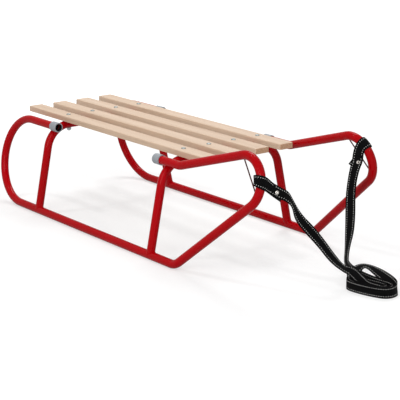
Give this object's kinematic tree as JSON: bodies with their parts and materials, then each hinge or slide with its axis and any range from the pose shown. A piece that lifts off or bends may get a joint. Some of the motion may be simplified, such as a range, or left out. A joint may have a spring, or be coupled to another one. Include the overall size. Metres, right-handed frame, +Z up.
{
  "type": "metal sled",
  "caption": "Children's tow sled with bent tube runners that rise into front grips, splayed cross arches, a bolted beech slat seat, grey end sleeves and a webbing tow strap.",
  "frame": {"origin": "on the floor, under the middle of the frame's length and width, without the strap", "axes": "+X forward to the front bends, +Y to the sled's left, +Z up"},
  "size_m": [1.2392, 0.4324, 0.2971],
  "materials": {
    "red_paint": "gloss",
    "beech": "satin lacquer",
    "zinc": "zinc plated",
    "grey_plastic": "satin",
    "keeper_wire": "gloss",
    "nickel": "nickel plated",
    "webbing": "woven"
  },
  "bodies": {
    "root": {"arch_front": "red_paint", "arch_rear": "red_paint", "bolt_1_front": "zinc", "bolt_1_rear": "zinc", "bolt_2_front": "zinc", "bolt_2_rear": "zinc", "bolt_3_front": "zinc", "bolt_3_rear": "zinc", "bolt_4_front": "zinc", "bolt_4_rear": "zinc", "front_cap_left": "grey_plastic", "front_cap_right": "grey_plastic", "keeper_left": "keeper_wire", "keeper_right": "keeper_wire", "nut_1_front": "zinc", "nut_1_rear": "zinc", "nut_2_front": "zinc", "nut_2_rear": "zinc", "nut_3_front": "zinc", "nut_3_rear": "zinc", "nut_4_front": "zinc", "nut_4_rear": "zinc", "rear_sleeve_left": "grey_plastic", "rear_sleeve_right": "grey_plastic", "runner_left": "red_paint", "runner_right": "red_paint", "slat_1": "beech", "slat_2": "beech", "slat_3": "beech", "slat_4": "beech", "strap_coil": "webbing", "strap_foot_left": "webbing", "strap_left": "webbing", "strap_loop_left": "webbing", "strap_loop_right": "webbing", "strap_right": "webbing", "strap_rivet_left": "nickel", "strap_rivet_right": "nickel"}
  },
  "joints": []
}
